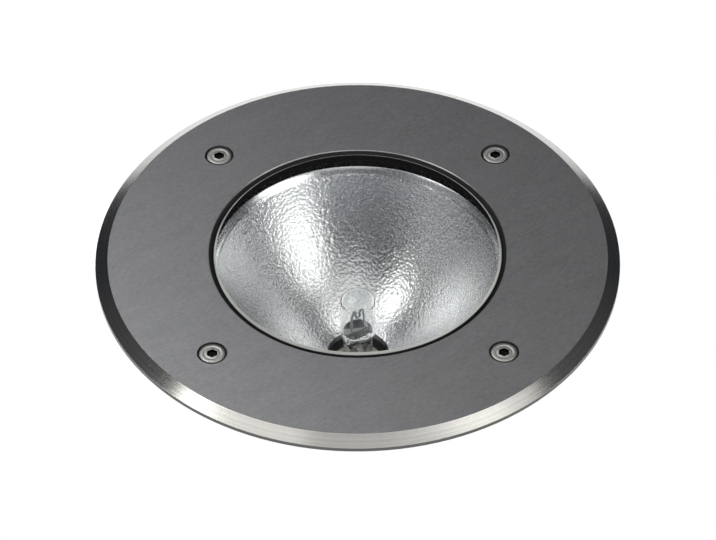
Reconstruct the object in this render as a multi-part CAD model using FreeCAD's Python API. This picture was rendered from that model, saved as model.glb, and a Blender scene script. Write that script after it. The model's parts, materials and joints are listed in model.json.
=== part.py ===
import FreeCAD, Part
import math
import os

# In ground well light: a stainless trim ring with four hex socket screws over a
# stepped toughened glass, on a cast aluminium pot that is buried up to the ring.
# A hammered reflector, a clear capsule lamp and its wiring sit inside the pot.
# Millimetres. The origin is the centre of the pot's base, +Z up, -Y the viewer's side.

# Trim ring
ring_d = 207.0
ring_t = 4.8
ring_edge_h = 2.0
ring_chamfer_w = 4.9
ring_lip_t = 3.0
ring_edge_break = 0.25
opening_d = 117.4
overall_h = 124.0
ring_register = 0.4
register_gap = 0.4

# Trim ring screws, M6 with a low head, and their washers
screw_count = 4
screw_first_angle = 45.0
screw_thread_d = 5.9
screw_head_d = 10.0
screw_head_h = 2.6
screw_head_break = 0.35
screw_head_recess = 0.1
screw_length = 15.4
screw_tip_break = 0.8
screw_hex_af = 4.0
screw_hex_depth = 1.5
screw_socket_drill_h = 1.0
washer_t = 0.6
washer_d = 9.6
counterbore_d = 11.7
screw_pass_d = 6.6
insert_d = 9.0
insert_h = 12.5
insert_below_face = 2.0
insert_bore_gap = 0.05
insert_wall = 3.65

# Glass and its gasket
glass_t = 8.0
glass_flange_reach = 10.8
glass_bevel = 1.3
gasket_edge_t = 1.4
gasket_rim_t = 1.2
gasket_top_t = 1.0
gasket_pad_t = 1.2
gasket_pad_w = 4.9
gasket_top_recess = 0.4

# Housing
flange_margin = 5.35
flange_t = 10.4
flange_break = 1.0
pot_wall = 4.0
pot_floor_t = 5.0
pot_base_chamfer = 3.0
base_rim_w = 3.0
neck_proud = 7.0
neck_h = 13.0
neck_taper_h = 6.5
recess_gap = 0.3
reflector_ledge_drop = 6.9
boss_d = 15.0
boss_h = 14.0
root_depth = 1.0
insert_pocket_extra = 1.0
rib_count = 8
rib_t = 4.0
rib_h = 52.0
rib_inset = 6.0
foot_count = 4
foot_d = 16.0
foot_h = 1.5
foot_inset = 2.0

# Reflector
reflector_t = 1.0
reflector_wall_gap = 0.3
reflector_rim_drop = 13.6
reflector_crown_drop = 12.6
reflector_crown_w = 3.2
reflector_hole_d = 25.0
reflector_hole_drop = 61.0
reflector_collar_h = 3.0
reflector_lip_gap = 0.4
reflector_head_gap = 0.25
reflector_screw_count = 3

# Lamp, a clear capsule with two pins
lamp_turn = 30.0
lamp_d = 14.0
lamp_top_drop = 28.5
lamp_bulb_h = 20.0
lamp_cap_r = 14.0
lamp_shoulder_r = 3.0
lamp_taper_h = 4.0
lamp_glass_wall = 1.0
lamp_glass_h = 41.0
pinch_w = 13.0
pinch_t = 3.2
pinch_rib_d = 4.2
pinch_bulge = 0.4
leg_spread = 5.6
pin_d = 1.0
pin_pitch = 9.0
pin_h = 8.0
pin_root_h = 1.0
foil_w = 2.4
foil_t = 0.3
foil_h = 9.0
filament_d = 1.0
filament_rise = 8.0
filament_leg_h = 5.6
filament_hump_x = 1.7
filament_dip_h = 2.4
filament_low_h = 3.6
support_d = 0.6

# Lamp holder and its bracket
holder_d = 20.0
holder_h = 21.0
holder_base_l = 36.0
holder_base_w = 16.0
holder_base_h = 5.0
holder_slot_depth = 3.8
holder_slot_gap = 0.5
holder_web = 1.0
pin_hole_gap = 0.3
contact_wall = 0.5
contact_h = 8.0
rest_gap = 0.3
holder_screw_pitch = 28.0
bracket_t = 1.5
bracket_w = 18.0
bracket_span = 52.0
bracket_foot_l = 14.0
bracket_window_d = 11.0
bracket_post_h = 4.0
bracket_post_d = 9.0

# Small pan head screws, M3
pan_thread_d = 3.0
pan_head_d = 5.6
pan_head_h = 1.9
pan_head_round = 0.8
pan_length = 7.0
pan_slot_w = 0.8
pan_slot_depth = 0.9
thread_gap = 0.02
pan_pass_gap = 0.2

# Terminal block
block_angle = 30.0
block_radius = 36.0
block_l = 31.0
block_w = 17.0
block_h = 14.0
block_break = 0.8
block_poles = 3
block_pitch = 10.0
block_bore_z = 6.0
block_post_h = 2.0
tube_d = 5.0
tube_l = 14.0
tube_bore_d = 2.4
block_screw_d = 2.6
block_screw_h = 4.4
block_screw_spread = 7.6
block_well_d = 3.4
block_screw_gap = 0.1
block_slot_w = 0.6
block_slot_depth = 0.8
block_head_sink = 1.0
hole_end_gap = 1.0
floor_skin = 2.0

# Wires inside the pot
wire_d = 2.0
wire_spacing = 5.0
wire_entry = 6.0
wire_run_out = 9.0
wire_drop = 17.0

# Earth terminal
earth_angle = -42.0
earth_radius = 46.0
earth_wire_heading = -53.0
earth_wire_run = 13.0
earth_post_d = 12.0
earth_post_h = 4.0
earth_screw_d = 4.0
earth_screw_l = 7.0
earth_head_d = 7.4
earth_head_h = 2.6
earth_washer_d = 8.6
earth_washer_t = 0.8
earth_lug_t = 0.8
earth_lug_d = 8.0
earth_lug_l = 12.0
earth_barrel_d = 3.2
earth_barrel_l = 5.0

# Cable gland and blanking plug, M20
entry_z = 27.0
entry_boss_d = 32.0
entry_boss_proud = 4.0
entry_thread_d = 20.0
entry_flange_t = 5.0
entry_hex_af = 24.0
entry_seal_t = 1.5
entry_seal_d = 25.0
entry_thread_l = 10.0
gland_bore_d = 11.0
gland_neck_d = 18.0
gland_neck_l = 11.0
gland_nut_af = 24.0
gland_nut_l = 14.0
gland_nut_crown = 3.0
gland_nut_stand_off = 3.0
gland_nut_mouth_d = 12.0
gland_bush_d = 14.6
gland_bush_l = 12.0
gland_cable_d = 9.0
moving_gap = 0.3
plug_head_h = 5.0
plug_slot_w = 2.0
plug_slot_depth = 2.0

# Places worked out from the sizes
Vec = FreeCAD.Vector
up = Vec(0, 0, 1)
origin = Vec(0, 0, 0)
top_z = overall_h
ring_r = ring_d / 2
ring_under_z = top_z - ring_t
ring_lip_z = top_z - ring_lip_t
opening_r = opening_d / 2
glass_bottom_z = top_z - glass_t
glass_step_z = ring_lip_z - gasket_top_t
glass_boss_r = opening_r - gasket_edge_t
glass_flange_r = opening_r + glass_flange_reach
gasket_outer_r = glass_flange_r + gasket_rim_t
recess_r = gasket_outer_r + recess_gap
seat_z = glass_bottom_z - gasket_pad_t
seat_inner_r = gasket_outer_r - gasket_pad_w
ledge_z = seat_z - reflector_ledge_drop
lip_room = pan_head_d + 2 * reflector_head_gap
pot_inner_r = seat_inner_r - lip_room + reflector_wall_gap
pot_r = pot_inner_r + pot_wall
neck_r = pot_r + neck_proud
flange_top_z = ring_under_z + ring_register
flange_under_z = flange_top_z - flange_t
screw_r = recess_r + insert_wall + insert_d / 2
flange_r = screw_r + boss_d / 2 + flange_margin
base_hollow_r = pot_r - pot_base_chamfer - base_rim_w
foot_r = base_hollow_r - foot_inset - foot_d / 2
reflector_foot_r = pot_inner_r - reflector_wall_gap
reflector_rim_r = reflector_foot_r - reflector_crown_w
reflector_screw_r = (reflector_foot_r + seat_inner_r) / 2
screw_head_top_z = top_z - screw_head_recess
screw_seat_z = screw_head_top_z - screw_head_h
washer_seat_z = screw_seat_z - washer_t
insert_top_z = ring_under_z - insert_below_face
insert_bottom_z = insert_top_z - insert_h
hole_z = top_z - reflector_hole_drop
rim_z = top_z - reflector_rim_drop
crown_z = top_z - reflector_crown_drop
lamp_top_z = top_z - lamp_top_drop
lamp_bottom_z = lamp_top_z - lamp_glass_h
slot_floor_z = lamp_bottom_z - rest_gap
holder_top_z = slot_floor_z + holder_slot_depth
holder_bottom_z = holder_top_z - holder_h
bracket_top_z = holder_bottom_z
post_top_z = pot_floor_t + bracket_post_h
entry_boss_x = pot_r + entry_boss_proud
entry_face_x = entry_boss_x + entry_seal_t
entry_thread_end_x = entry_boss_x - entry_thread_l
gland_neck_x = entry_face_x + entry_flange_t
gland_neck_end_x = gland_neck_x + gland_neck_l
gland_pocket_x = gland_neck_end_x - gland_bush_l


def polar(radius, angle, z=0.0):
    a = math.radians(angle)
    return Vec(radius * math.cos(a), radius * math.sin(a), z)


def cylinder(diameter, height, at, axis=up):
    return Part.makeCylinder(diameter / 2, height, at, axis)


def block(size_x, size_y, size_z, centre_x, centre_y, low_z):
    corner = Vec(centre_x - size_x / 2, centre_y - size_y / 2, low_z)
    return Part.makeBox(size_x, size_y, size_z, corner)


def spin(points):
    """Solid of revolution about +Z of a closed outline of (radius, z) points."""
    corners = [Vec(r, 0, z) for r, z in points]
    face = Part.Face(Part.makePolygon(corners + corners[:1]))
    return face.revolve(origin, up, 360)


def side_cylinder(diameter, from_x, to_x, side=1):
    """Cylinder on a cable entry's axis, between two distances out from the middle."""
    start = Vec(side * from_x, 0, entry_z)
    return Part.makeCylinder(diameter / 2, to_x - from_x, start, Vec(side, 0, 0))


def hexagon(across_flats, height, at, axis=up):
    radius = across_flats / math.sqrt(3)
    corners = [polar(radius, 60 * i) for i in range(6)]
    prism = Part.Face(Part.makePolygon(corners + corners[:1])).extrude(up * height)
    prism.Placement = FreeCAD.Placement(at, FreeCAD.Rotation(up, axis))
    return prism


def union(first, *others):
    return first.multiFuse(list(others)).removeSplitter()


def turned(shape, angle):
    copy = shape.copy()
    copy.rotate(origin, up, angle)
    return copy


def moved(shape, vector):
    copy = shape.copy()
    copy.translate(vector)
    return copy


def wire_path(points):
    """Straight runs joined by tangent arcs, each 0.45 of its shorter run."""
    edges = []
    start = points[0]
    for before, here, after in zip(points, points[1:], points[2:]):
        back = before - here
        ahead = after - here
        turn = math.pi - back.getAngle(ahead)
        reach = 0.45 * min(back.Length, ahead.Length)
        radius = reach / math.tan(turn / 2)
        back.normalize()
        ahead.normalize()
        first = here + back * reach
        last = here + ahead * reach
        inward = (back + ahead).normalize()
        centre = here + inward * (radius / math.cos(turn / 2))
        middle = centre - inward * radius
        edges.append(Part.makeLine(start, first))
        edges.append(Part.Arc(first, middle, last).toShape())
        start = last
        print("wire bend radius %.1f mm" % radius)
    edges.append(Part.makeLine(start, points[-1]))
    return Part.Wire(edges)


def wire_tube(points, diameter):
    path = wire_path(points)
    heading = points[1] - points[0]
    section = Part.Wire(Part.makeCircle(diameter / 2, points[0], heading))
    tube = path.makePipeShell([section], True, False)
    expected = math.pi * diameter ** 2 / 4 * path.Length
    print("wire %.1f mm long, volume ratio %.4f" % (path.Length, tube.Volume / expected))
    return tube


def pan_screw(length=pan_length):
    """Pan head screw on the origin: underside of its head at z = 0."""
    head = cylinder(pan_head_d, pan_head_h, origin)
    rims = [e for e in head.Edges if e.BoundBox.ZMin > pan_head_h / 2]
    head = head.makeFillet(pan_head_round, rims)
    slot = block(pan_head_d, pan_slot_w, pan_slot_depth, 0, 0, pan_head_h - pan_slot_depth)
    shank = cylinder(pan_thread_d, length, Vec(0, 0, -length))
    return union(head.cut(slot), shank)


def save(name, *solids):
    shape = solids[0] if len(solids) == 1 else Part.makeCompound(list(solids))
    shape.exportStep("parts/%s.step" % name)
    print("%-24s %2d solid(s) valid=%s" % (name, len(shape.Solids), shape.isValid()))


def screw_places():
    step = 360 / screw_count
    return [(screw_r, screw_first_angle + i * step) for i in range(screw_count)]


def reflector_screw_places():
    step = 360 / reflector_screw_count
    return [polar(reflector_screw_r, 90 + i * step, ledge_z)
            for i in range(reflector_screw_count)]


def bracket_screw_places():
    reach = bracket_span / 2 + bracket_foot_l / 2
    return [Vec(0, side * reach, post_top_z) for side in (-1, 1)]


def block_frame(shape):
    """Moves a shape drawn on the terminal block's own axes to its place."""
    return turned(moved(shape, Vec(block_radius, 0, pot_floor_t + block_post_h)), block_angle)


def pole_offsets():
    middle = (block_poles - 1) / 2
    return [(i - middle) * block_pitch for i in range(block_poles)]


def block_fixing_offsets():
    poles = pole_offsets()
    return [(a + b) / 2 for a, b in zip(poles, poles[1:])]


def trim_ring():
    outline = [(opening_r, ring_lip_z), (opening_r, top_z - ring_edge_break),
               (opening_r + ring_edge_break, top_z), (ring_r - ring_chamfer_w, top_z),
               (ring_r, ring_under_z + ring_edge_h),
               (ring_r, ring_under_z + ring_edge_break),
               (ring_r - ring_edge_break, ring_under_z),
               (flange_r + register_gap, ring_under_z),
               (flange_r + register_gap, flange_top_z), (recess_r, flange_top_z),
               (recess_r, ring_lip_z)]
    ring = spin(outline)
    for radius, angle in screw_places():
        ring = ring.cut(cylinder(screw_pass_d, ring_t, polar(radius, angle, ring_under_z)))
        seat = polar(radius, angle, washer_seat_z)
        ring = ring.cut(cylinder(counterbore_d, top_z - washer_seat_z, seat))
    return ring


def glass_lens():
    return spin([(0, glass_bottom_z), (glass_flange_r, glass_bottom_z),
                 (glass_flange_r, glass_step_z), (glass_boss_r, glass_step_z),
                 (glass_boss_r, top_z - glass_bevel), (glass_boss_r - glass_bevel, top_z),
                 (0, top_z)])


def glass_gasket():
    return spin([(seat_inner_r, seat_z), (gasket_outer_r, seat_z),
                 (gasket_outer_r, ring_lip_z), (opening_r, ring_lip_z),
                 (opening_r, top_z - gasket_top_recess),
                 (glass_boss_r, top_z - gasket_top_recess - glass_bevel),
                 (glass_boss_r, glass_step_z), (glass_flange_r, glass_step_z),
                 (glass_flange_r, glass_bottom_z), (seat_inner_r, glass_bottom_z)])


def ring_screw(radius, angle):
    head = cylinder(screw_head_d, screw_head_h, origin)
    rims = [e for e in head.Edges if e.BoundBox.ZMin > screw_head_h / 2]
    head = head.makeChamfer(screw_head_break, rims)
    floor_z = screw_head_h - screw_hex_depth
    head = head.cut(hexagon(screw_hex_af, screw_hex_depth, Vec(0, 0, floor_z)))
    drill = Part.makeCone(0, screw_hex_af / 2, screw_socket_drill_h,
                          Vec(0, 0, floor_z - screw_socket_drill_h))
    shank = cylinder(screw_thread_d, screw_length, Vec(0, 0, -screw_length))
    tips = [e for e in shank.Edges if e.BoundBox.ZMax < -screw_length / 2]
    shank = shank.makeChamfer(screw_tip_break, tips)
    screw = union(head, shank).cut(drill)
    return turned(moved(screw, Vec(radius, 0, screw_seat_z)), angle)


def ring_washer(radius, angle):
    place = polar(radius, angle, washer_seat_z)
    bore_d = screw_thread_d + 2 * insert_bore_gap
    return cylinder(washer_d, washer_t, place).cut(cylinder(bore_d, washer_t, place))


def thread_insert(radius, angle):
    place = polar(radius, angle, insert_bottom_z)
    bore_d = screw_thread_d + 2 * insert_bore_gap
    return cylinder(insert_d, insert_h, place).cut(cylinder(bore_d, insert_h, place))


def entry_boss(side):
    """Flat round pad on the pot wall for a cable entry, on +X or -X."""
    return side_cylinder(entry_boss_d, pot_inner_r - pot_wall, entry_boss_x, side)


def housing():
    shell = spin([(0, 0), (pot_r - pot_base_chamfer, 0), (pot_r, pot_base_chamfer),
                  (pot_r, flange_under_z - neck_h),
                  (neck_r, flange_under_z - neck_h + neck_taper_h),
                  (neck_r, flange_under_z), (flange_r - flange_break, flange_under_z),
                  (flange_r, flange_under_z + flange_break),
                  (flange_r, flange_top_z - flange_break),
                  (flange_r - flange_break, flange_top_z), (0, flange_top_z)])
    extras = []
    for radius, angle in screw_places():
        boss = cylinder(boss_d, boss_h + root_depth, polar(radius, angle, flange_under_z - boss_h))
        web = Part.makeBox(radius - pot_r + pot_wall / 2, rib_t, boss_h + root_depth,
                           Vec(pot_r - pot_wall / 2, -rib_t / 2, flange_under_z - boss_h))
        extras += [boss, turned(web, angle)]
    for i in range(rib_count):
        low = pot_r - pot_wall / 2
        outline = [Vec(low, -rib_t / 2, flange_under_z - rib_h),
                   Vec(pot_r, -rib_t / 2, flange_under_z - rib_h),
                   Vec(flange_r - rib_inset, -rib_t / 2, flange_under_z),
                   Vec(flange_r - rib_inset, -rib_t / 2, flange_under_z + root_depth),
                   Vec(low, -rib_t / 2, flange_under_z + root_depth)]
        rib = Part.Face(Part.makePolygon(outline + outline[:1])).extrude(Vec(0, rib_t, 0))
        extras.append(turned(rib, (i + 0.5) * 360 / rib_count))
    for side in (-1, 1):
        extras.append(entry_boss(side))
    shell = union(shell, *extras)

    cavity = spin([(0, pot_floor_t), (pot_inner_r, pot_floor_t), (pot_inner_r, ledge_z),
                   (seat_inner_r, ledge_z), (seat_inner_r, seat_z), (recess_r, seat_z),
                   (recess_r, flange_top_z), (0, flange_top_z)])
    shell = shell.cut(cavity)

    inside = []
    for place in bracket_screw_places():
        foot = Vec(place.x, place.y, pot_floor_t - root_depth)
        post = cylinder(bracket_post_d, bracket_post_h + root_depth, foot)
        inside.append(turned(post, lamp_turn))
    pad_h = block_post_h + root_depth
    inside.append(block_frame(block(block_w, block_l, pad_h, 0, 0, -pad_h)))
    earth_foot = polar(earth_radius, earth_angle, pot_floor_t - root_depth)
    inside.append(cylinder(earth_post_d, earth_post_h + root_depth, earth_foot))
    shell = union(shell, *inside)

    cuts = []
    pocket_bottom_z = insert_bottom_z - insert_pocket_extra
    for radius, angle in screw_places():
        cuts.append(cylinder(insert_d + 2 * thread_gap, flange_top_z - pocket_bottom_z,
                             polar(radius, angle, pocket_bottom_z)))
    thread_hole_d = pan_thread_d + 2 * thread_gap
    for place in reflector_screw_places():
        depth = pan_length - reflector_t + hole_end_gap
        cuts.append(cylinder(thread_hole_d, depth, place - up * depth))
    for place in bracket_screw_places():
        depth = pan_length - bracket_t + hole_end_gap
        hole = cylinder(thread_hole_d, depth, place - up * depth)
        cuts.append(turned(hole, lamp_turn))
    for offset in block_fixing_offsets():
        hole_depth = block_post_h + pot_floor_t - floor_skin
        cuts.append(block_frame(cylinder(thread_hole_d, hole_depth, Vec(0, offset, -hole_depth))))
    earth_top = polar(earth_radius, earth_angle, pot_floor_t + earth_post_h)
    earth_depth = earth_screw_l - earth_lug_t - earth_washer_t + hole_end_gap
    cuts.append(cylinder(earth_screw_d + 2 * thread_gap, earth_depth,
                         earth_top - up * earth_depth))
    for side in (-1, 1):
        bore_d = entry_thread_d + 2 * thread_gap
        cuts.append(side_cylinder(bore_d, pot_inner_r - 2 * pot_wall, entry_boss_x, side))
    shell = shell.cut(Part.makeCompound(cuts))

    feet = []
    for i in range(foot_count):
        angle = screw_first_angle + i * 360 / foot_count
        feet.append(cylinder(foot_d, foot_h, polar(foot_r, angle)))
    hollow = cylinder(2 * base_hollow_r, foot_h, origin)
    return shell.cut(hollow.cut(Part.makeCompound(feet)))


def bowl_point(share, offset):
    """A point of the bowl's parabola, from its hole (0) to its rim (1), offset outward."""
    hole_r = reflector_hole_d / 2
    radius = hole_r + (reflector_rim_r - hole_r) * share
    spread = reflector_rim_r ** 2 - hole_r ** 2
    z = hole_z + (rim_z - hole_z) * (radius ** 2 - hole_r ** 2) / spread
    slope = (rim_z - hole_z) * 2 * radius / spread
    length = math.hypot(1, slope)
    return Vec(radius + offset * slope / length, 0, z - offset / length)


def bowl_curve(offset):
    curve = Part.BSplineCurve()
    curve.interpolate([bowl_point(i / 8, offset) for i in range(9)])
    return curve.toShape()


def reflector():
    hole_r = reflector_hole_d / 2
    crown_r = reflector_rim_r + reflector_crown_w / 2
    lip_outer_r = seat_inner_r - reflector_lip_gap
    t = reflector_t
    inner = bowl_curve(0)
    outer = bowl_curve(t)
    rim_in = bowl_point(1, 0)
    rim_out = bowl_point(1, t)
    crown_foot = Vec(reflector_foot_r, 0, rim_in.z)
    leg_foot = Vec(reflector_foot_r - t, 0, rim_out.z)
    lip_top_z = ledge_z + t
    crown_in = Part.Arc(rim_in, Vec(crown_r, 0, crown_z), crown_foot).toShape()
    crown_out = Part.Arc(rim_out, Vec(crown_r, 0, crown_z - t), leg_foot).toShape()
    hole_in = bowl_point(0, 0)
    hole_out = bowl_point(0, t)
    collar_z = hole_z - reflector_collar_h
    corner = [crown_foot, Vec(reflector_foot_r, 0, lip_top_z), Vec(lip_outer_r, 0, lip_top_z),
              Vec(lip_outer_r, 0, ledge_z), Vec(leg_foot.x, 0, ledge_z), leg_foot]
    lip = [Part.makeLine(a, b) for a, b in zip(corner, corner[1:])]
    neck = [hole_out, Vec(hole_r + t, 0, hole_out.z), Vec(hole_r + t, 0, collar_z),
            Vec(hole_r, 0, collar_z), hole_in]
    collar = [Part.makeLine(a, b) for a, b in zip(neck, neck[1:]) if a.distanceToPoint(b) > 1e-6]
    edges = [inner, crown_in] + lip + [crown_out, outer] + collar
    wire = Part.Wire(Part.__sortEdges__(edges))
    bowl = Part.Face(wire).revolve(origin, up, 360)
    for place in reflector_screw_places():
        hole = cylinder(pan_thread_d + 2 * pan_pass_gap, 3 * t, place - up * t)
        bowl = bowl.cut(hole)
    return bowl


def lamp_outline(wall, low_z):
    """Solid inside the capsule's surface, moved in by a wall: a tube with a domed end."""
    radius = lamp_d / 2 - wall
    cap_r = lamp_cap_r - wall
    corner_r = lamp_shoulder_r - wall
    cap_centre = Vec(0, 0, lamp_top_z - lamp_cap_r)
    rise = math.sqrt((cap_r - corner_r) ** 2 - (radius - corner_r) ** 2)
    corner_centre = cap_centre + Vec(radius - corner_r, 0, rise)
    spoke = (corner_centre - cap_centre).normalize()
    half_spoke = (spoke + up).normalize()
    bisector = (spoke + Vec(1, 0, 0)).normalize()
    shoulder = corner_centre + Vec(corner_r, 0, 0)
    meeting = cap_centre + spoke * cap_r
    crown = cap_centre + up * cap_r
    corner = Part.Arc(shoulder, corner_centre + bisector * corner_r, meeting)
    cap = Part.Arc(meeting, cap_centre + half_spoke * cap_r, crown)
    floor = [Vec(0, 0, low_z), Vec(radius, 0, low_z)]
    lines = [Part.makeLine(crown, floor[0]), Part.makeLine(floor[0], floor[1]),
             Part.makeLine(floor[1], shoulder)]
    wire = Part.Wire([corner.toShape(), cap.toShape()] + lines)
    return Part.Face(wire).revolve(origin, up, 360)


def four_sided(corner_x, corner_y, side_x, side_y, z):
    """Closed wire of four arcs through its corners and the middles of its sides."""
    corners = [Vec(-corner_x, -corner_y, z), Vec(corner_x, -corner_y, z),
               Vec(corner_x, corner_y, z), Vec(-corner_x, corner_y, z)]
    middles = [Vec(0, -side_y, z), Vec(side_x, 0, z), Vec(0, side_y, z), Vec(-side_x, 0, z)]
    ends = corners[1:] + corners[:1]
    return Part.Wire([Part.Arc(a, m, b).toShape() for a, m, b in zip(corners, middles, ends)])


def lamp_envelope():
    bulb_low_z = lamp_top_z - lamp_bulb_h
    pinch_top_z = bulb_low_z - lamp_taper_h
    bulb = lamp_outline(0, bulb_low_z)
    cavity = lamp_outline(lamp_glass_wall, bulb_low_z + lamp_glass_wall)
    pinch_h = pinch_top_z - lamp_bottom_z
    pinch = block(pinch_w - pinch_rib_d, pinch_t, pinch_h, 0, 0, lamp_bottom_z)
    rib_x = (pinch_w - pinch_rib_d) / 2
    ribs = [cylinder(pinch_rib_d, pinch_h, Vec(side * rib_x, 0, lamp_bottom_z))
            for side in (-1, 1)]
    rim_corner = lamp_d / 2 * math.sqrt(0.5)
    rim = four_sided(rim_corner, rim_corner, lamp_d / 2, lamp_d / 2, bulb_low_z)
    neck = four_sided(rib_x, pinch_t / 2, pinch_w / 2, pinch_t / 2 + pinch_bulge, pinch_top_z)
    taper = Part.makeLoft([neck, rim], True, True)
    glass = union(bulb, taper, pinch, *ribs).cut(cavity)
    hollows = lamp_foils() + lamp_supports() + lamp_pins()
    return turned(glass.cut(Part.makeCompound(hollows)), lamp_turn)


def foil_low_z():
    pinch_top_z = lamp_top_z - lamp_bulb_h - lamp_taper_h
    return (pinch_top_z + lamp_bottom_z) / 2 - foil_h / 2


def lamp_foils():
    return [block(foil_w, foil_t, foil_h, side * leg_spread / 2, 0, foil_low_z())
            for side in (-1, 1)]


def lamp_pins():
    pins = []
    for side in (-1, 1):
        x = side * leg_spread / 2
        low = Vec(side * pin_pitch / 2, 0, lamp_bottom_z - pin_h)
        straight = cylinder(pin_d, pin_h + pin_root_h, low)
        inner = cylinder(pin_d, foil_low_z() - lamp_bottom_z, Vec(x, 0, lamp_bottom_z))
        bridge_l = abs(low.x - x)
        bend_z = lamp_bottom_z + pin_root_h
        bridge = cylinder(pin_d, bridge_l, Vec(x, 0, bend_z), Vec(side, 0, 0))
        ball = Part.makeSphere(pin_d / 2, Vec(low.x, 0, bend_z))
        pins.append(union(straight, bridge, ball, inner))
    return pins


def filament_points():
    """The filament's line: up one leg, over two humps with a dip between, and down."""
    leg = leg_spread / 2
    low = lamp_top_z - lamp_bulb_h + filament_low_h
    half = [Vec(leg, 0, low), Vec(leg, 0, low + filament_leg_h),
            Vec(filament_hump_x, 0, low + filament_rise)]
    mirrored = [Vec(-p.x, p.y, p.z) for p in half]
    return mirrored + [Vec(0, 0, low + filament_dip_h)] + half[::-1]


def lamp_supports():
    base = filament_points()[0]
    foil_top_z = foil_low_z() + foil_h
    return [cylinder(support_d, base.z - foil_top_z, Vec(side * abs(base.x), 0, foil_top_z))
            for side in (-1, 1)]


def lamp_filament():
    path = wire_path(filament_points())
    heading = filament_points()[1] - filament_points()[0]
    section = Part.Wire(Part.makeCircle(filament_d / 2, filament_points()[0], heading))
    return path.makePipeShell([section], True, False)


def lamp_holder():
    base = block(holder_base_w, holder_base_l, holder_base_h, 0, 0, holder_bottom_z)
    body = cylinder(holder_d, holder_h, Vec(0, 0, holder_bottom_z))
    holder = union(base, body)
    slot = block(pinch_w + 2 * holder_slot_gap, pinch_rib_d + 2 * holder_slot_gap,
                 holder_slot_depth, 0, 0, slot_floor_z)
    cuts = [slot]
    for side in (-1, 1):
        x = side * pin_pitch / 2
        hole_d = pin_d + 2 * (pin_hole_gap + contact_wall)
        depth = pin_h + rest_gap
        cuts.append(cylinder(hole_d, depth, Vec(x, 0, slot_floor_z - depth)))
        wire_x = side * wire_spacing / 2
        wire_top_z = slot_floor_z - depth - holder_web
        cuts.append(cylinder(wire_d + 2 * rest_gap, wire_top_z - holder_bottom_z,
                             Vec(wire_x, 0, holder_bottom_z)))
        place = Vec(0, side * holder_screw_pitch / 2, holder_bottom_z)
        cuts.append(cylinder(pan_thread_d + 2 * pan_pass_gap, holder_base_h, place))
    return turned(holder.cut(Part.makeCompound(cuts)), lamp_turn)


def holder_contacts():
    contacts = []
    for side in (-1, 1):
        low = Vec(side * pin_pitch / 2, 0, slot_floor_z - rest_gap - contact_h)
        bore_d = pin_d + 2 * pin_hole_gap
        sleeve = cylinder(bore_d + 2 * contact_wall - 2 * thread_gap, contact_h, low)
        contacts.append(turned(sleeve.cut(cylinder(bore_d, contact_h, low)), lamp_turn))
    return contacts


def holder_bracket():
    half = bracket_span / 2
    low_z = post_top_z
    high_z = bracket_top_z
    outline = [(-half - bracket_foot_l, low_z), (-half, low_z), (-half, high_z - bracket_t),
               (half, high_z - bracket_t), (half, low_z), (half + bracket_foot_l, low_z),
               (half + bracket_foot_l, low_z + bracket_t), (half + bracket_t, low_z + bracket_t),
               (half + bracket_t, high_z), (-half - bracket_t, high_z),
               (-half - bracket_t, low_z + bracket_t),
               (-half - bracket_foot_l, low_z + bracket_t)]
    corners = [Vec(-bracket_w / 2, y, z) for y, z in outline]
    strap = Part.Face(Part.makePolygon(corners + corners[:1])).extrude(Vec(bracket_w, 0, 0))
    cuts = [cylinder(bracket_window_d, bracket_t, Vec(0, 0, high_z - bracket_t))]
    for side in (-1, 1):
        place = Vec(0, side * holder_screw_pitch / 2, high_z - bracket_t)
        cuts.append(cylinder(pan_thread_d + 2 * thread_gap, bracket_t, place))
    for place in bracket_screw_places():
        cuts.append(cylinder(pan_thread_d + 2 * pan_pass_gap, bracket_t, place))
    return turned(strap.cut(Part.makeCompound(cuts)), lamp_turn)


def terminal_block():
    body = block(block_w, block_l, block_h, 0, 0, 0)
    body = body.makeFillet(block_break, [e for e in body.Edges if e.CenterOfMass.z > block_h - 1])
    cuts = []
    for offset in pole_offsets():
        bore = Vec(-block_w / 2, offset, block_bore_z)
        cuts.append(cylinder(tube_d + 2 * thread_gap, block_w, bore, Vec(1, 0, 0)))
        for side in (-1, 1):
            well = Vec(side * block_screw_spread / 2, offset, block_bore_z)
            cuts.append(cylinder(block_well_d, block_h, well))
    for offset in block_fixing_offsets():
        cuts.append(cylinder(pan_thread_d + 2 * pan_pass_gap, block_h, Vec(0, offset, 0)))
        head_z = block_h - pan_head_h - block_head_sink
        cuts.append(cylinder(pan_head_d + 2 * pan_pass_gap, block_h, Vec(0, offset, head_z)))
    return block_frame(body.cut(Part.makeCompound(cuts)))


def terminal_tubes():
    tubes = []
    for offset in pole_offsets():
        start = Vec(-tube_l / 2, offset, block_bore_z)
        tube = cylinder(tube_d, tube_l, start, Vec(1, 0, 0))
        cuts = [cylinder(tube_bore_d, tube_l, start, Vec(1, 0, 0))]
        for side in (-1, 1):
            hole = Vec(side * block_screw_spread / 2, offset, block_bore_z)
            cuts.append(cylinder(block_screw_d + 2 * thread_gap, tube_d, hole))
        tubes.append(block_frame(tube.cut(Part.makeCompound(cuts))))
    return tubes


def terminal_screws():
    screws = []
    for offset in pole_offsets():
        for side in (-1, 1):
            low_z = block_bore_z + wire_d / 2 + block_screw_gap
            low = Vec(side * block_screw_spread / 2, offset, low_z)
            screw = cylinder(block_screw_d, block_screw_h, low)
            slot = block(block_screw_d, block_slot_w, block_slot_depth, low.x, low.y,
                         low_z + block_screw_h - block_slot_depth)
            screws.append(block_frame(screw.cut(slot)))
    return screws


def terminal_fixing_screws():
    head_z = block_h - pan_head_h - block_head_sink
    length = head_z + block_post_h + pot_floor_t - floor_skin - hole_end_gap
    return [block_frame(moved(pan_screw(length), Vec(0, offset, head_z)))
            for offset in block_fixing_offsets()]


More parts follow.
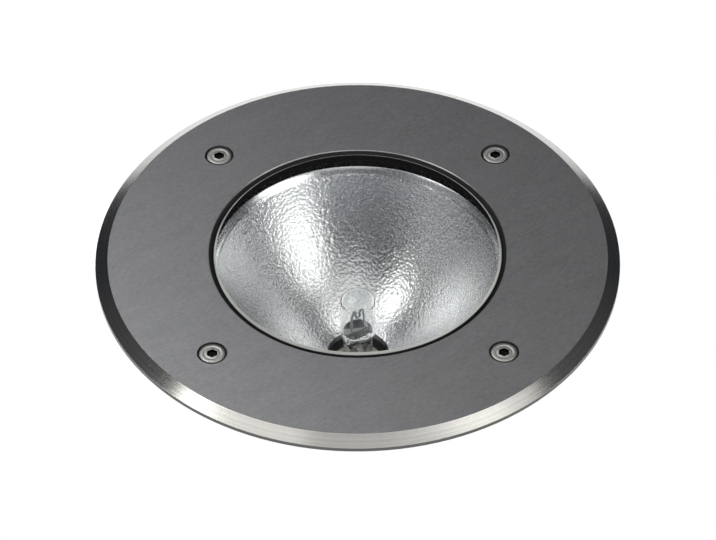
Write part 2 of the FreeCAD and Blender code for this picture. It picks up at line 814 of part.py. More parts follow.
def block_bore(pole, inset):
    """A point on one pole's axis, inset from the block's inner face."""
    return block_frame(Part.Vertex(Vec(inset - block_w / 2, pole_offsets()[pole],
                                       block_bore_z))).Point


def holder_wire(side, pole):
    """Wire from the holder's underside to one pole of the terminal block."""
    start_z = slot_floor_z - pin_h - rest_gap - holder_web
    start = turned(Part.Vertex(Vec(side * wire_spacing / 2, 0, start_z)), lamp_turn).Point
    elbow = start - up * wire_drop
    return wire_tube([start, elbow, block_bore(pole, -wire_run_out),
                      block_bore(pole, wire_entry)], wire_d)


def earth_wire():
    """Wire from the block's earth pole round to the earth lug on the floor."""
    level = block_bore(0, -wire_run_out)
    barrel_z = pot_floor_t + earth_post_h + earth_lug_t / 2 + earth_barrel_d / 2
    heading = polar(1, earth_wire_heading)
    end = polar(earth_radius, earth_angle, barrel_z) - heading * earth_lug_l
    return wire_tube([block_bore(0, wire_entry), level, end - heading * earth_wire_run, end],
                     wire_d)


def earth_screw():
    top = polar(earth_radius, earth_angle,
                pot_floor_t + earth_post_h + earth_lug_t + earth_washer_t)
    head = cylinder(earth_head_d, earth_head_h, top)
    slot = Part.makeBox(earth_head_d, pan_slot_w, pan_slot_depth,
                        top + Vec(-earth_head_d / 2, -pan_slot_w / 2,
                                  earth_head_h - pan_slot_depth))
    shank = cylinder(earth_screw_d, earth_screw_l, top - up * earth_screw_l)
    return union(head.cut(slot), shank)


def earth_washer():
    low = polar(earth_radius, earth_angle, pot_floor_t + earth_post_h + earth_lug_t)
    hole = cylinder(earth_screw_d + 2 * pan_pass_gap, earth_washer_t, low)
    return cylinder(earth_washer_d, earth_washer_t, low).cut(hole)


def earth_lug():
    """Ring terminal drawn along -X, then turned to face its wire."""
    ring = cylinder(earth_lug_d, earth_lug_t, origin)
    tongue = block(earth_lug_l, earth_barrel_d, earth_lug_t, -earth_lug_l / 2, 0, 0)
    barrel_z = (earth_lug_t + earth_barrel_d) / 2
    barrel = cylinder(earth_barrel_d, earth_barrel_l, Vec(-earth_lug_l, 0, barrel_z),
                      Vec(1, 0, 0))
    hole = cylinder(earth_screw_d + 2 * pan_pass_gap, earth_lug_t, origin)
    lug = turned(union(ring, tongue, barrel).cut(hole), earth_wire_heading)
    return moved(lug, polar(earth_radius, earth_angle, pot_floor_t + earth_post_h))


def entry_seal(side):
    outer = side_cylinder(entry_seal_d, entry_boss_x, entry_face_x, side)
    bore_d = entry_thread_d + 2 * thread_gap
    return outer.cut(side_cylinder(bore_d, entry_boss_x, entry_face_x, side))


def gland_body():
    thread = side_cylinder(entry_thread_d, entry_thread_end_x, entry_face_x)
    place = Vec(entry_face_x, 0, entry_z)
    flange = hexagon(entry_hex_af, entry_flange_t, place, Vec(1, 0, 0))
    neck = side_cylinder(gland_neck_d, gland_neck_x, gland_neck_end_x)
    bore = side_cylinder(gland_bore_d, entry_thread_end_x, gland_neck_end_x)
    pocket = side_cylinder(gland_bush_d + 2 * moving_gap, gland_pocket_x, gland_neck_end_x)
    return union(thread, flange, neck).cut(Part.makeCompound([bore, pocket]))


def gland_bush():
    start_x = gland_pocket_x + rest_gap
    end_x = start_x + gland_bush_l
    bush = side_cylinder(gland_bush_d, start_x, end_x)
    return bush.cut(side_cylinder(gland_cable_d, start_x, end_x))


def gland_nut():
    start_x = gland_neck_x + gland_nut_stand_off
    middle_x = start_x + gland_nut_l / 2
    end_x = start_x + gland_nut_l
    axis = Vec(1, 0, 0)
    nut = hexagon(gland_nut_af, gland_nut_l, Vec(start_x, 0, entry_z), axis)
    corner_r = gland_nut_af / math.sqrt(3)
    dome = Part.makeCone(corner_r, gland_nut_af / 2 - gland_nut_crown, end_x - middle_x,
                         Vec(middle_x, 0, entry_z), axis)
    nut = nut.common(union(side_cylinder(2 * corner_r, start_x, middle_x), dome))
    bush_end_x = gland_pocket_x + rest_gap + gland_bush_l
    bore = side_cylinder(gland_neck_d + 2 * insert_bore_gap, start_x, bush_end_x)
    mouth = side_cylinder(gland_nut_mouth_d, start_x, end_x)
    return nut.cut(Part.makeCompound([bore, mouth]))


def blanking_plug():
    head_end_x = entry_face_x + plug_head_h
    thread = side_cylinder(entry_thread_d, entry_thread_end_x, entry_face_x, -1)
    head = side_cylinder(entry_seal_d, entry_face_x, head_end_x, -1)
    slot = Part.makeBox(plug_slot_depth, entry_seal_d, plug_slot_w,
                        Vec(-head_end_x, -entry_seal_d / 2, entry_z - plug_slot_w / 2))
    return union(thread, head).cut(slot)


def main():
    os.makedirs("parts", exist_ok=True)
    save("bezel_ring", trim_ring())
    save("glass_lens", glass_lens())
    save("glass_gasket", glass_gasket())
    for number, (radius, angle) in enumerate(screw_places(), 1):
        save("bezel_screw_%d" % number, ring_screw(radius, angle))
        save("screw_washer_%d" % number, ring_washer(radius, angle))
    save("thread_inserts", *[thread_insert(*place) for place in screw_places()])
    save("housing", housing())
    save("reflector", reflector())
    reflector_screws = [moved(pan_screw(), place + up * reflector_t)
                        for place in reflector_screw_places()]
    save("reflector_screws", *reflector_screws)

    save("lamp_envelope", lamp_envelope())
    save("lamp_foils", *[turned(s, lamp_turn) for s in lamp_foils()])
    save("lamp_supports", *[turned(s, lamp_turn) for s in lamp_supports()])
    save("lamp_filament", turned(lamp_filament(), lamp_turn))
    save("lamp_pins", *[turned(s, lamp_turn) for s in lamp_pins()])

    save("lamp_holder", lamp_holder())
    save("holder_contacts", *holder_contacts())
    holder_screw_z = holder_bottom_z + holder_base_h
    holder_screws = [Vec(0, side * holder_screw_pitch / 2, holder_screw_z) for side in (-1, 1)]
    save("holder_screws", *[turned(moved(pan_screw(), p), lamp_turn) for p in holder_screws])
    save("holder_bracket", holder_bracket())
    bracket_screws = [p + up * bracket_t for p in bracket_screw_places()]
    save("bracket_screws", *[turned(moved(pan_screw(), p), lamp_turn) for p in bracket_screws])

    save("terminal_block", terminal_block())
    save("terminal_tubes", *terminal_tubes())
    save("terminal_screws", *terminal_screws())
    save("terminal_fixing_screws", *terminal_fixing_screws())
    save("wire_live", holder_wire(1, 1))
    save("wire_neutral", holder_wire(-1, 2))
    save("wire_earth", earth_wire())
    save("earth_screw", earth_screw())
    save("earth_washer", earth_washer())
    save("earth_lug", earth_lug())

    save("gland_seal", entry_seal(1))
    save("gland_body", gland_body())
    save("gland_bush", gland_bush())
    save("gland_nut", gland_nut())
    save("blanking_seal", entry_seal(-1))
    save("blanking_plug", blanking_plug())


main()
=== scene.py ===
import bpy
import json
import math
from mathutils import Matrix, Vector


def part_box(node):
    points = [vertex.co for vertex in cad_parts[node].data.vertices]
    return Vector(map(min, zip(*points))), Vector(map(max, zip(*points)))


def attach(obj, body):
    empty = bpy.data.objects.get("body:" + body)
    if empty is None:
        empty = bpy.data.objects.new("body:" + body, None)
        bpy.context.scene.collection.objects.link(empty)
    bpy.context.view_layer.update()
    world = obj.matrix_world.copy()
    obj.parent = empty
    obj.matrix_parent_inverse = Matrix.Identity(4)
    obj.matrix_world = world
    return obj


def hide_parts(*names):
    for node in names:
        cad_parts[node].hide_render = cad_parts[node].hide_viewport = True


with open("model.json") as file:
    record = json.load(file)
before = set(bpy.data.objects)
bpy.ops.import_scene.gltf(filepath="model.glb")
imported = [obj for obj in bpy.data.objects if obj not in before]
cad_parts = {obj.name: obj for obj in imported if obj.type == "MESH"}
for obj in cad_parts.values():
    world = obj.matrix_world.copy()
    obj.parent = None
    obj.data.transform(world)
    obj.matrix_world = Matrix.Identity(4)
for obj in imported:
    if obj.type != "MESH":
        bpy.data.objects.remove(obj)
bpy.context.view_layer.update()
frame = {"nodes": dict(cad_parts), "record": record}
bpy.ops.object.select_all(action="DESELECT")
print("frame loaded,", len(frame["nodes"]), "nodes")

mm = 0.001


def middleOf(name):
    low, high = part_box(name)
    return (Vector(low) + Vector(high)) / 2


ringLow, ringHigh = (Vector(corner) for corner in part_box("bezel_ring"))
ringRadius = (ringHigh.x - ringLow.x) / 2
ringTop = ringHigh.z
ringUnder = ringLow.z

# Camera, solved from the ring's edges in the photograph (716 x 540)

photoCamera = {
    "lens": 183.57,
    "sensorWidth": 36.0,
    "elevation": 44.37,
    "roll": -0.23,
    "distance": 1.4431,
    "aimRight": 0.00013,
    "aimUp": -0.00413,
}


def addCamera(c):
    e, r = math.radians(c["elevation"]), math.radians(c["roll"])
    back = Vector((0, -math.cos(e), math.sin(e)))
    levelRight = Vector((1, 0, 0))
    levelUp = Vector((0, math.sin(e), math.cos(e)))
    right = math.cos(r) * levelRight + math.sin(r) * levelUp
    up = math.cos(r) * levelUp - math.sin(r) * levelRight
    eye = Vector((0, 0, ringUnder)) + back * c["distance"]
    eye += right * c["aimRight"] + up * c["aimUp"]
    data = bpy.data.cameras.new("photoCamera")
    data.lens = c["lens"]
    data.sensor_width = c["sensorWidth"]
    camera = bpy.data.objects.new("photoCamera", data)
    camera.matrix_world = Matrix((right, up, back)).transposed().to_4x4()
    camera.location = eye
    bpy.context.collection.objects.link(camera)
    bpy.context.scene.camera = camera


addCamera(photoCamera)
print("camera set")


# Node helpers for the finishes

def newFinish(name):
    made = bpy.data.materials.new(name)
    made.use_nodes = True
    tree = made.node_tree
    shader = next(n for n in tree.nodes if n.type == "BSDF_PRINCIPLED")
    return made, tree, shader


def add(tree, kind, settings=None, **inputs):
    made = tree.nodes.new(kind)
    for key, value in (settings or {}).items():
        setattr(made, key, value)
    for key, value in inputs.items():
        socket = made.inputs[int(key[5:])] if key.startswith("input") else made.inputs[key]
        if hasattr(value, "is_linked"):
            tree.links.new(value, socket)
        else:
            socket.default_value = value
    return made


def calculate(tree, operation, a, b=0.0):
    return add(tree, "ShaderNodeMath", {"operation": operation}, input0=a, input1=b).outputs[0]


def ramp(tree, value, low, high, lowTo=0.0, highTo=1.0):
    made = add(tree, "ShaderNodeMapRange", {"clamp": True}, Value=value)
    for key, number in (("From Min", low), ("From Max", high), ("To Min", lowTo),
                        ("To Max", highTo)):
        made.inputs[key].default_value = number
    return made.outputs[0]


def mixColour(tree, share, a, b):
    made = add(tree, "ShaderNodeMix", {"data_type": "RGBA"})
    for socket, value in ((made.inputs[0], share), (made.inputs[6], a), (made.inputs[7], b)):
        if hasattr(value, "is_linked"):
            tree.links.new(value, socket)
        elif socket is made.inputs[0]:
            socket.default_value = value
        else:
            socket.default_value = (*value, 1.0)
    return made.outputs[2]


def place(tree, centre=(0, 0, 0), stretch=(1, 1, 1), turn=0.0):
    coordinates = add(tree, "ShaderNodeTexCoord").outputs["Object"]
    mapping = add(tree, "ShaderNodeMapping", {"vector_type": "TEXTURE"}, Vector=coordinates)
    mapping.inputs["Location"].default_value = centre
    mapping.inputs["Rotation"].default_value = (0, 0, math.radians(turn))
    mapping.inputs["Scale"].default_value = tuple(1 / v for v in stretch)
    return mapping.outputs[0]


def noise(tree, where, scale, detail=2.0, roughness=0.5):
    made = add(tree, "ShaderNodeTexNoise", Vector=where, Scale=scale, Detail=detail,
               Roughness=roughness)
    return made.outputs[0]


def bump(tree, height, distance, under=None):
    made = add(tree, "ShaderNodeBump", Height=height, Distance=distance, Strength=1.0)
    if under is not None:
        tree.links.new(under, made.inputs["Normal"])
    return made.outputs[0]


def acrossAndUp(tree, where):
    axes = add(tree, "ShaderNodeSeparateXYZ", Vector=where)
    flat = add(tree, "ShaderNodeCombineXYZ", X=axes.outputs[0], Y=axes.outputs[1])
    radius = add(tree, "ShaderNodeVectorMath", {"operation": "LENGTH"}, input0=flat.outputs[0])
    return radius.outputs["Value"], axes.outputs[2]


def toned(tree, colour, tone):
    return add(tree, "ShaderNodeVectorMath", {"operation": "SCALE"}, input0=colour,
               Scale=tone).outputs[0]


def mixShaders(tree, share, a, b):
    return add(tree, "ShaderNodeMixShader", input0=share, input1=a.outputs[0],
               input2=b.outputs[0])


def show(tree, shader):
    out = next(n for n in tree.nodes if n.type == "OUTPUT_MATERIAL")
    tree.links.new(shader.outputs[0], out.inputs[0])


def paint(name, finish):
    shown = frame["nodes"][name]
    shown.data.materials.clear()
    shown.data.materials.append(finish)


# Modelling helpers. Outlines are in millimetres, from the axis and up

mergeDistance = 0.002 * mm
smoothAngle = math.radians(35)
facingDown = -0.9


def editFrom(made, name):
    made.name = name
    made.data.name = name
    bpy.ops.object.mode_set(mode="EDIT")
    bpy.ops.mesh.select_mode(type="VERT")


def closeMesh():
    bpy.ops.mesh.select_all(action="SELECT")
    bpy.ops.mesh.remove_doubles(threshold=mergeDistance)
    bpy.ops.mesh.normals_make_consistent(inside=False)
    bpy.ops.object.mode_set(mode="OBJECT")


def spun(name, outline, steps, angle=2 * math.pi):
    bpy.ops.object.select_all(action="DESELECT")
    bpy.ops.mesh.primitive_plane_add(size=1 * mm, location=(0, 0, 0))
    editFrom(bpy.context.object, name)
    bpy.ops.mesh.select_all(action="SELECT")
    bpy.ops.mesh.merge(type="CENTER")
    before = outline[0]
    bpy.ops.transform.translate(value=Vector((before[0], 0, before[1])) * mm)
    for here in outline[1:]:
        step = Vector((here[0] - before[0], 0, here[1] - before[1])) * mm
        bpy.ops.mesh.extrude_vertices_move(TRANSFORM_OT_translate={"value": step})
        before = here
    bpy.ops.mesh.select_all(action="SELECT")
    bpy.ops.mesh.spin(steps=steps, angle=angle, center=(0, 0, 0), axis=(0, 0, 1))
    closeMesh()
    return bpy.context.object


def finishPiece(piece, body, material, *replaced):
    bpy.ops.object.select_all(action="DESELECT")
    piece.select_set(True)
    bpy.context.view_layer.objects.active = piece
    bpy.ops.object.transform_apply(location=True, rotation=True, scale=True)
    bpy.ops.object.shade_smooth_by_angle(angle=smoothAngle)
    piece.data.materials.clear()
    piece.data.materials.append(material)
    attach(piece, body)
    if replaced:
        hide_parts(*replaced)


# Trim ring: straight-grained face, turned bevel, and a lower side painted dark as painted shade

ringFinish = {
    "face": (0.50, 0.50, 0.505),
    "faceRough": 0.36,
    "faceTone": 0.17,
    "broadTone": (0.94, 1.06),
    "bevel": (0.53, 0.526, 0.508),
    "bevelRough": 0.16,
    "bevelTone": (0.78, 1.14),
    # Near-black colour for the ring's lower 2 mm, its outer side: painted shade for the side in
    # shadow that reflects dark
    "paintedEdgeShade": (0.10, 0.10, 0.10),
    "edgeRough": 0.2,
    "roughSpread": 0.05,
    "grain": 1250.0,
    "grainStretch": (0.30, 1.0, 1.0),
    "grainTurn": 38.0,
    "broadening": 7,
    "turnedLines": 14.0,
    "turnedScale": 90.0,
    "relief": 0.012 * mm,
    "bevelFrom": ringRadius - 5.05 * mm,
    "bevelFull": ringRadius - 4.85 * mm,
    "edgeShadeFull": ringUnder + 1.8 * mm,
    "edgeShadeTop": ringUnder + 2.0 * mm,
}


def ringMaterial(c):
    made, tree, shader = newFinish("brushedStainless")
    radius, up = acrossAndUp(tree, add(tree, "ShaderNodeTexCoord").outputs["Object"])
    onBevel = ramp(tree, radius, c["bevelFrom"], c["bevelFull"])
    # Mask of the ring's lower 2 mm, where the near-black painted shade goes
    onEdgeShade = ramp(tree, up, c["edgeShadeFull"], c["edgeShadeTop"], 1, 0)
    where = place(tree, stretch=c["grainStretch"], turn=c["grainTurn"])
    fine = noise(tree, where, c["grain"], 3, 0.7)
    broad = noise(tree, where, c["grain"] / c["broadening"], 3, 0.6)
    rings = add(tree, "ShaderNodeCombineXYZ", Y=up,
                X=calculate(tree, "MULTIPLY", radius, c["turnedLines"]))
    turned = noise(tree, rings.outputs[0], c["turnedScale"], 3, 0.7)
    faceTone = calculate(tree, "ADD",
                         ramp(tree, fine, 0.25, 0.75, -c["faceTone"], c["faceTone"]),
                         ramp(tree, broad, 0.25, 0.75, *c["broadTone"]))
    face = toned(tree, c["face"], faceTone)
    bevel = toned(tree, c["bevel"], ramp(tree, turned, 0.3, 0.7, *c["bevelTone"]))
    colour = mixColour(tree, onEdgeShade, mixColour(tree, onBevel, face, bevel), c["paintedEdgeShade"])
    tree.links.new(colour, shader.inputs["Base Color"])
    spread = ramp(tree, fine, 0.2, 0.8, -c["roughSpread"], c["roughSpread"])
    rough = calculate(tree, "ADD", spread,
                      ramp(tree, onBevel, 0, 1, c["faceRough"], c["bevelRough"]))
    rough = calculate(tree, "ADD", rough, ramp(tree, onEdgeShade, 0, 1, 0, c["edgeRough"]))
    tree.links.new(rough, shader.inputs["Roughness"])
    shader.inputs["Metallic"].default_value = 1.0
    height = add(tree, "ShaderNodeMix", {"data_type": "FLOAT"})
    for number, value in ((0, onBevel), (2, fine), (3, turned)):
        tree.links.new(value, height.inputs[number])
    tree.links.new(bump(tree, height.outputs[0], c["relief"]), shader.inputs["Normal"])
    return made


# Reflector: bright aluminium, hammered, smoother by its rim

bowlFinish = {
    "colour": (0.93, 0.94, 0.95),
    "tone": (0.94, 1.0),
    "rough": 0.24,
    "roughSpread": 0.05,
    "cell": 900.0,
    "cellSmooth": 0.8,
    "dentScale": 0.55,
    "depth": 0.13 * mm,
    "fineCell": 2000.0,
    "fineDepth": 0.07 * mm,
    "hammeredTo": 108.9 * mm,
    "smoothFrom": 109.7 * mm,
    "smoothShare": 0.12,
}


def bowlMaterial(c):
    made, tree, shader = newFinish("hammeredAluminium")
    where = place(tree)
    cells = add(tree, "ShaderNodeTexVoronoi", {"feature": "SMOOTH_F1"}, Vector=where,
                Scale=c["cell"], Smoothness=c["cellSmooth"]).outputs[0]
    dents = noise(tree, where, c["cell"] * c["dentScale"], 2, 0.6)
    fine = noise(tree, where, c["fineCell"], 2, 0.6)
    up = add(tree, "ShaderNodeSeparateXYZ", Vector=where).outputs[2]
    hammered = ramp(tree, up, c["hammeredTo"], c["smoothFrom"], 1, c["smoothShare"])
    height = calculate(tree, "MULTIPLY", calculate(tree, "ADD", cells, dents), hammered)
    low = bump(tree, height, c["depth"])
    fineHeight = calculate(tree, "MULTIPLY", fine, hammered)
    tree.links.new(bump(tree, fineHeight, c["fineDepth"], under=low), shader.inputs["Normal"])
    colour = toned(tree, c["colour"], ramp(tree, dents, 0.3, 0.7, *c["tone"]))
    tree.links.new(colour, shader.inputs["Base Color"])
    rough = ramp(tree, fine, 0.3, 0.7, c["rough"] - c["roughSpread"],
                 c["rough"] + c["roughSpread"])
    tree.links.new(rough, shader.inputs["Roughness"])
    shader.inputs["Metallic"].default_value = 1.0
    return made


# Glass: clear plate, ground bevel, black bonded step and wall

lensFinish = {
    "clear": (0.965, 0.975, 0.98),
    "index": 1.52,
    "smudgeScale": 45.0,
    "smudgeRough": 0.012,
    "wallRadius": 56.75 * mm,
    "bevelRadius": 55.88 * mm,
    "topFrom": ringTop - 1.5 * mm,
    "topFull": ringTop - 1.45 * mm,
    "ground": (0.94, 0.95, 0.91),
    "groundRough": 0.24,
    "groundClear": 0.4,
    "black": (0.008, 0.010, 0.014),
    "blackRough": 0.6,
    "blackGloss": 0.2,
}


def lensMaterial(c):
    made, tree, shader = newFinish("toughenedGlass")
    radius, up = acrossAndUp(tree, add(tree, "ShaderNodeTexCoord").outputs["Object"])
    onTop = ramp(tree, up, c["topFrom"], c["topFull"])
    outside = calculate(tree, "GREATER_THAN", radius, c["wallRadius"])
    onBevel = calculate(tree, "MULTIPLY", onTop,
                        calculate(tree, "GREATER_THAN", radius, c["bevelRadius"]))
    smudge = noise(tree, place(tree), c["smudgeScale"], 4, 0.6)
    shader.inputs["Base Color"].default_value = (*c["clear"], 1)
    shader.inputs["Transmission Weight"].default_value = 1.0
    shader.inputs["IOR"].default_value = c["index"]
    tree.links.new(ramp(tree, smudge, 0.45, 0.8, 0.0, c["smudgeRough"]),
                   shader.inputs["Roughness"])
    ground = add(tree, "ShaderNodeBsdfPrincipled", Roughness=c["groundRough"], IOR=c["index"])
    ground.inputs["Base Color"].default_value = (*c["ground"], 1)
    ground.inputs["Transmission Weight"].default_value = c["groundClear"]
    black = add(tree, "ShaderNodeBsdfPrincipled", Roughness=c["blackRough"])
    black.inputs["Specular IOR Level"].default_value = c["blackGloss"]
    black.inputs["Base Color"].default_value = (*c["black"], 1)
    show(tree, mixShaders(tree, outside, mixShaders(tree, onBevel, shader, ground), black))
    return made


# Quartz: clear above, streaked and milky where it is pressed flat

quartzFinish = {
    "clear": (0.97, 0.985, 0.985),
    "index": 1.46,
    "flow": 160.0,
    "waver": 0.05 * mm,
    "milk": (0.90, 0.92, 0.91),
    "milkRough": 0.22,
    "milkClear": 0.45,
    "milkShare": 0.9,
    "pressedBelow": 66.0 * mm,
    "clearAbove": 75.0 * mm,
    "streak": 620.0,
    "streakLean": 38.0,
    "streakDraw": 0.10,
    "streakFrom": 0.50,
    "streakFull": 0.56,
}


def quartzMaterial(c):
    made, tree, shader = newFinish("quartzGlass")
    where = place(tree)
    flow = noise(tree, where, c["flow"], 2, 0.5)
    shader.inputs["Base Color"].default_value = (*c["clear"], 1)
    shader.inputs["Transmission Weight"].default_value = 1.0
    shader.inputs["IOR"].default_value = c["index"]
    shader.inputs["Roughness"].default_value = 0.0
    tree.links.new(bump(tree, flow, c["waver"]), shader.inputs["Normal"])
    lean = add(tree, "ShaderNodeVectorRotate", {"rotation_type": "Y_AXIS"}, Vector=where,
               Angle=math.radians(c["streakLean"]))
    drawn = add(tree, "ShaderNodeVectorMath", {"operation": "MULTIPLY"}, input0=lean.outputs[0],
                input1=(1.0, 1.0, c["streakDraw"]))
    streaks = noise(tree, drawn.outputs[0], c["streak"], 3, 0.65)
    up = add(tree, "ShaderNodeSeparateXYZ", Vector=where).outputs[2]
    pressed = ramp(tree, up, c["pressedBelow"], c["clearAbove"], 1, 0)
    milky = ramp(tree, streaks, c["streakFrom"], c["streakFull"], 0.0, c["milkShare"])
    milk = add(tree, "ShaderNodeBsdfPrincipled", Roughness=c["milkRough"], IOR=c["index"])
    milk.inputs["Base Color"].default_value = (*c["milk"], 1)
    milk.inputs["Transmission Weight"].default_value = c["milkClear"]
    show(tree, mixShaders(tree, calculate(tree, "MULTIPLY", pressed, milky), shader, milk))
    return made


# Finishes that differ only in colour, gloss and grain

plainGrain = {"vary": 0.08, "patches": 12, "smoother": 0.06, "rougher": 0.08}


def plainMaterial(name, colour, rough, metal, grain, depth, c=plainGrain):
    made, tree, shader = newFinish(name)
    where = place(tree)
    pattern = noise(tree, where, grain, 3, 0.6)
    patches = noise(tree, where, grain / c["patches"], 2, 0.5)
    tone = calculate(tree, "ADD", ramp(tree, pattern, 0.3, 0.7, -c["vary"], c["vary"]),
                     ramp(tree, patches, 0.3, 0.7, 1 - c["vary"], 1 + c["vary"]))
    tree.links.new(toned(tree, colour, tone), shader.inputs["Base Color"])
    tree.links.new(ramp(tree, pattern, 0.25, 0.75, rough - c["smoother"], rough + c["rougher"]),
                   shader.inputs["Roughness"])
    tree.links.new(bump(tree, pattern, depth), shader.inputs["Normal"])
    shader.inputs["Metallic"].default_value = metal
    return made


# Colour, roughness, metal or not, grain and its depth

plainFinishes = {
    "black_silicone": ((0.008, 0.008, 0.010), 0.75, 0, 1800, 0.02 * mm),
    "coated_aluminium": ((0.075, 0.078, 0.083), 0.50, 0, 1500, 0.10 * mm),
    "brass": ((0.78, 0.58, 0.27), 0.26, 1, 2600, 0.01 * mm),
    "zinc_plated_steel": ((0.66, 0.67, 0.69), 0.30, 1, 2200, 0.01 * mm),
    "steatite": ((0.84, 0.81, 0.74), 0.62, 0, 1900, 0.03 * mm),
    "nickel": ((0.74, 0.71, 0.67), 0.24, 1, 2600, 0.01 * mm),
    "molybdenum": ((0.80, 0.80, 0.81), 0.45, 1, 3000, 0.01 * mm),
    "tungsten": ((0.86, 0.86, 0.86), 0.55, 1, 4000, 0.01 * mm),
    "white_polyamide": ((0.82, 0.82, 0.79), 0.45, 0, 1700, 0.02 * mm),
    "black_polyamide": ((0.028, 0.028, 0.030), 0.46, 0, 1700, 0.04 * mm),
    "clear_nylon": ((0.03, 0.03, 0.03), 0.42, 0, 1700, 0.02 * mm),
    "wire_brown": ((0.20, 0.085, 0.045), 0.42, 0, 1500, 0.02 * mm),
    "wire_blue": ((0.045, 0.13, 0.42), 0.42, 0, 1500, 0.02 * mm),
}

finishes = {slot: plainMaterial(slot, *values) for slot, values in plainFinishes.items()}
finishes["brushed_stainless"] = ringMaterial(ringFinish)
finishes["hammered_aluminium"] = bowlMaterial(bowlFinish)
finishes["toughened_glass"] = lensMaterial(lensFinish)
finishes["quartz_glass"] = quartzMaterial(quartzFinish)


earthFinish = {
    "green": (0.07, 0.33, 0.08),
    "yellow": (0.85, 0.72, 0.05),
    "yellowFrom": 0.35,
    "yellowFull": 0.45,
    "grain": 1500.0,
    "rough": (0.36, 0.5),
    "relief": 0.02 * mm,
}


def earthMaterial(c):
    made, tree, shader = newFinish("wireGreen")
    up = add(tree, "ShaderNodeSeparateXYZ",
             Vector=add(tree, "ShaderNodeNewGeometry").outputs["Normal"]).outputs[2]
    grain = noise(tree, place(tree), c["grain"], 3, 0.6)
    colour = mixColour(tree, ramp(tree, up, c["yellowFrom"], c["yellowFull"]), c["green"],
                       c["yellow"])
    tree.links.new(colour, shader.inputs["Base Color"])
    tree.links.new(ramp(tree, grain, 0.3, 0.7, *c["rough"]), shader.inputs["Roughness"])
    tree.links.new(bump(tree, grain, c["relief"]), shader.inputs["Normal"])
    return made


finishes["wire_green"] = earthMaterial(earthFinish)
for part in frame["record"]["subparts"]:
    if part["material_slot"] in finishes:
        paint(part["node"], finishes[part["material_slot"]])
print("finishes made,", len(finishes))

# Hammered bowl, spun from its outline (millimetres)

bowl = {
    "holeRadius": 12.5,
    "holeZ": 63.0,
    "rimRadius": 56.5,
    "rimZ": 110.4,
    "flareRadius": 56.2,
    "crown": [(57.0, 110.96), (57.72, 111.86), (57.9, 112.02), (58.2, 112.08), (59.2, 112.0),
              (59.6, 111.6)],
    "crownUnder": [(58.7, 110.7), (58.2, 111.0), (57.7, 110.4)],
    "legRadius": 59.7,
    "lipRadius": 65.4,
    "ledgeZ": 107.9,
    "lipBreak": 0.3,
    "sheet": 1.0,
    "collar": 3.0,
    "steps": 220,
    "rings": 64,
    "outerRings": 24,
}


def bowlOutline(c):
    def curve(share, offset):
        radius = c["holeRadius"] + (c["flareRadius"] - c["holeRadius"]) * share
        spread = c["rimRadius"] ** 2 - c["holeRadius"] ** 2
        z = c["holeZ"] + (c["rimZ"] - c["holeZ"]) * (radius ** 2 - c["holeRadius"] ** 2) / spread
        slope = (c["rimZ"] - c["holeZ"]) * 2 * radius / spread
        length = math.hypot(1, slope)
        return radius + offset * slope / length, z - offset / length

    t = c["sheet"]
    inside = [curve(i / c["rings"], 0) for i in range(c["rings"] + 1)]
    outside = [curve(i / c["outerRings"], t) for i in range(c["outerRings"] + 1)]
    leg = c["legRadius"]
    lipTop = c["ledgeZ"] + t
    lip = [(leg, c["rimZ"]), (leg, lipTop + c["lipBreak"]), (leg + c["lipBreak"], lipTop),
           (c["lipRadius"], lipTop), (c["lipRadius"], c["ledgeZ"]), (leg - t, c["ledgeZ"])]
    foot = c["holeZ"] - c["collar"]
    neck = [(c["holeRadius"] + t, foot), (c["holeRadius"], foot), (c["holeRadius"], c["holeZ"])]
    return inside + c["crown"] + lip + c["crownUnder"] + outside[::-1] + neck


reflectorBowl = spun("hammeredBowl", bowlOutline(bowl), bowl["steps"])
finishPiece(reflectorBowl, "base", finishes["hammered_aluminium"], "reflector")
print("bowl spun,", len(reflectorBowl.data.polygons), "faces")

# Ring screws: turned head, hexagon socket, rolled thread (millimetres, from the head's top)

screw = {
    "profile": [(0, 0), (2.75, 0), (2.95, -0.06), (3.35, -0.06), (3.55, 0), (4.62, 0), (4.9, -0.12),
                (5.0, -0.38), (5.0, -2.5), (4.9, -2.6), (3.05, -2.6), (2.9, -2.9), (2.6, -3.2),
                (2.6, -17.4), (2.05, -18.0), (0, -18.0)],
    "steps": 64,
    "socketAcross": 4.0,
    "socketDepth": 1.5,
    "drillDepth": 1.0,
    "pitch": 1.0,
    "turns": 14,
    "threadStart": -17.3,
    "threadRoot": 2.45,
    "threadCrest": 2.95,
    "ridgeShare": 0.42,
    "crestFlat": 0.12,
    "windSteps": 28,
}
screwFinish = {
    "colour": (0.86, 0.85, 0.81),
    "tone": (0.48, 1.12),
    "rough": (0.36, 0.50),
    "lines": 9.0,
    "lineScale": 130.0,
    "relief": 0.05 * mm,
    # socket: near-black colour painted into the hexagon socket, painted shade of the deep recess
    "socket": (0.012, 0.012, 0.013),
    "socketShadeRadius": 2.4 * mm,
    "socketShadeFull": 0.45 * mm,
    "socketShadeFrom": 0.25 * mm,
}


def screwMaterial(name, centre, headTop, c):
    made, tree, shader = newFinish(name)
    radius, up = acrossAndUp(tree, place(tree, centre))
    rings = add(tree, "ShaderNodeCombineXYZ", Y=up,
                X=calculate(tree, "MULTIPLY", radius, c["lines"]))
    turned = noise(tree, rings.outputs[0], c["lineScale"], 3, 0.7)
    colour = toned(tree, c["colour"], ramp(tree, turned, 0.3, 0.7, *c["tone"]))
    # Painted shade: the socket is painted near-black from 0.25 mm below the head's top downwards
    socketShade = ramp(tree, up, headTop - c["socketShadeFull"], headTop - c["socketShadeFrom"], 1, 0)
    within = calculate(tree, "LESS_THAN", radius, c["socketShadeRadius"])
    colour = mixColour(tree, calculate(tree, "MULTIPLY", socketShade, within), colour, c["socket"])
    tree.links.new(colour, shader.inputs["Base Color"])
    tree.links.new(ramp(tree, turned, 0.3, 0.7, *c["rough"]), shader.inputs["Roughness"])
    tree.links.new(bump(tree, turned, c["relief"]), shader.inputs["Normal"])
    shader.inputs["Metallic"].default_value = 1.0
    return made


